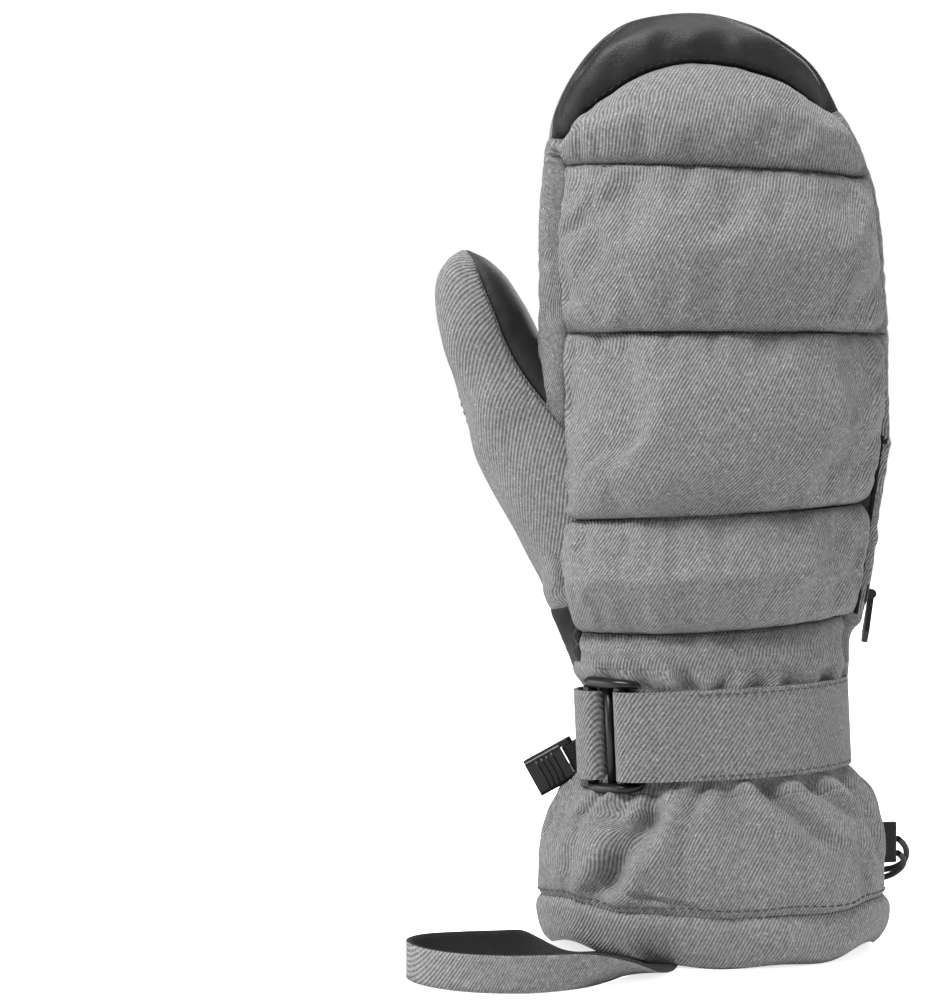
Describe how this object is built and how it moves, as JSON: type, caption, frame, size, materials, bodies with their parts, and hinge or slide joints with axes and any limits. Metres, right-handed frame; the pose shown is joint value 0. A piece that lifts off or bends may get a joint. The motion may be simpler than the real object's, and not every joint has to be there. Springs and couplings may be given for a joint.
{
  "type": "ski mitten",
  "caption": "Right-hand padded ski mitten with quilted back, grip palm, wrist strap, zip pocket, drawcord cuff and leash, standing on its cuff.",
  "frame": {"origin": "centre of the cuff's mouth, at the level of the hem's lowest face", "axes": "+Z from the cuff to the fingertips, -Y towards the back of the hand, -X towards the thumb side"},
  "size_m": [0.1777, 0.1664, 0.322],
  "materials": {
    "twill_grey": "matte diagonal twill",
    "leather_black": "grained, satin",
    "grip_black": "black knit with a printed grip pattern of hexagon outlines",
    "shell_black": "matte",
    "lining_black": "brushed",
    "insulation": "loose fibre",
    "elastic": "woven",
    "strap_grey": "matte twill",
    "patch_black": "hook and loop",
    "plastic_black": "satin",
    "eyelet_metal": "polished",
    "spring_steel": "plain",
    "cord_black": "braided",
    "webbing_black": "woven, black inside and grey outside",
    "zip_black": "woven tape",
    "label_white": "smooth, blank"
  },
  "bodies": {
    "mitten": {"fingertip_cap": "leather_black", "back_baffle_1": "twill_grey", "back_baffle_2": "twill_grey", "back_baffle_3": "twill_grey", "back_baffle_4": "twill_grey", "back_band": "twill_grey", "gusset_thumb_side": "twill_grey", "gusset_little_finger_side": "twill_grey", "palm_leather": "leather_black", "palm_grip": "grip_black", "thumb_back_panel": "twill_grey", "thumb_front_panel": "twill_grey", "thumb_leather": "leather_black", "hand_insulation": "insulation", "thumb_insulation": "insulation", "hand_lining": "lining_black", "thumb_lining": "lining_black", "cuff_lining": "lining_black", "wrist_elastic": "elastic", "wrist_back_panel": "twill_grey", "wrist_palm_panel": "twill_grey", "cuff_back_panel": "twill_grey", "cuff_palm_panel": "twill_grey", "hem": "twill_grey", "zip_tape": "zip_black", "zip_chain": "plastic_black", "zip_stops": "plastic_black", "strap_base": "strap_grey", "loop_face": "patch_black", "ring_tab": "strap_grey", "clip_webbing": "webbing_black", "eyelet": "eyelet_metal", "drawcord_hem_run": "cord_black", "drawcord_strand_1": "cord_black", "drawcord_strand_2": "cord_black", "cord_end": "plastic_black", "tether_leg_1": "cord_black", "tether_leg_2": "cord_black", "tether_tab": "webbing_black", "leash_band": "webbing_black", "leash_root": "webbing_black", "care_label": "label_white"},
    "ring": {"strap_ring": "plastic_black"},
    "strap_flap": {"strap_tail": "strap_grey", "hook_face": "patch_black"},
    "zip_slider": {"zip_slider": "plastic_black"},
    "zip_puller": {"zip_puller": "plastic_black"},
    "clip": {"clip_body": "plastic_black"},
    "cord_lock": {"lock_barrel": "plastic_black", "lock_spring": "spring_steel"},
    "lock_button": {"lock_button": "plastic_black"}
  },
  "joints": [
    {"name": "ring_swing", "type": "hinge", "parent": "mitten", "child": "ring", "pos_m": [-0.0418, -0.01732, 0.07518], "axis": [0.0436, 0, -0.999], "range_deg": [0, 20]},
    {"name": "strap_open", "type": "hinge", "parent": "ring", "child": "strap_flap", "pos_m": [-0.03136, -0.02683, 0.07564], "axis": [0.0436, 0, -0.999], "range_deg": [0, 100]},
    {"name": "zip_slide", "type": "slide", "parent": "mitten", "child": "zip_slider", "axis": [0.1461, 0, 0.9893], "range_m": [0, 0.0475]},
    {"name": "puller_swing", "type": "hinge", "parent": "zip_slider", "child": "zip_puller", "pos_m": [0.05497, 0, 0.12187], "axis": [0, -1, 0], "range_deg": [0, 150]},
    {"name": "clip_swing", "type": "hinge", "parent": "mitten", "child": "clip", "pos_m": [-0.0476, 0.003, 0.0655], "axis": [0.4848, 0, -0.8746], "range_deg": [-30, 30]},
    {"name": "lock_slide", "type": "slide", "parent": "mitten", "child": "cord_lock", "axis": [0.2714, 0.9625, 0], "range_m": [0, 0.006]},
    {"name": "lock_press", "type": "slide", "parent": "cord_lock", "child": "lock_button", "axis": [0, 0, -1], "range_m": [0, 0.003], "stiffness_N_per_m": 300, "springref_m": -0.004, "deforming": ["lock_spring"]}
  ]
}
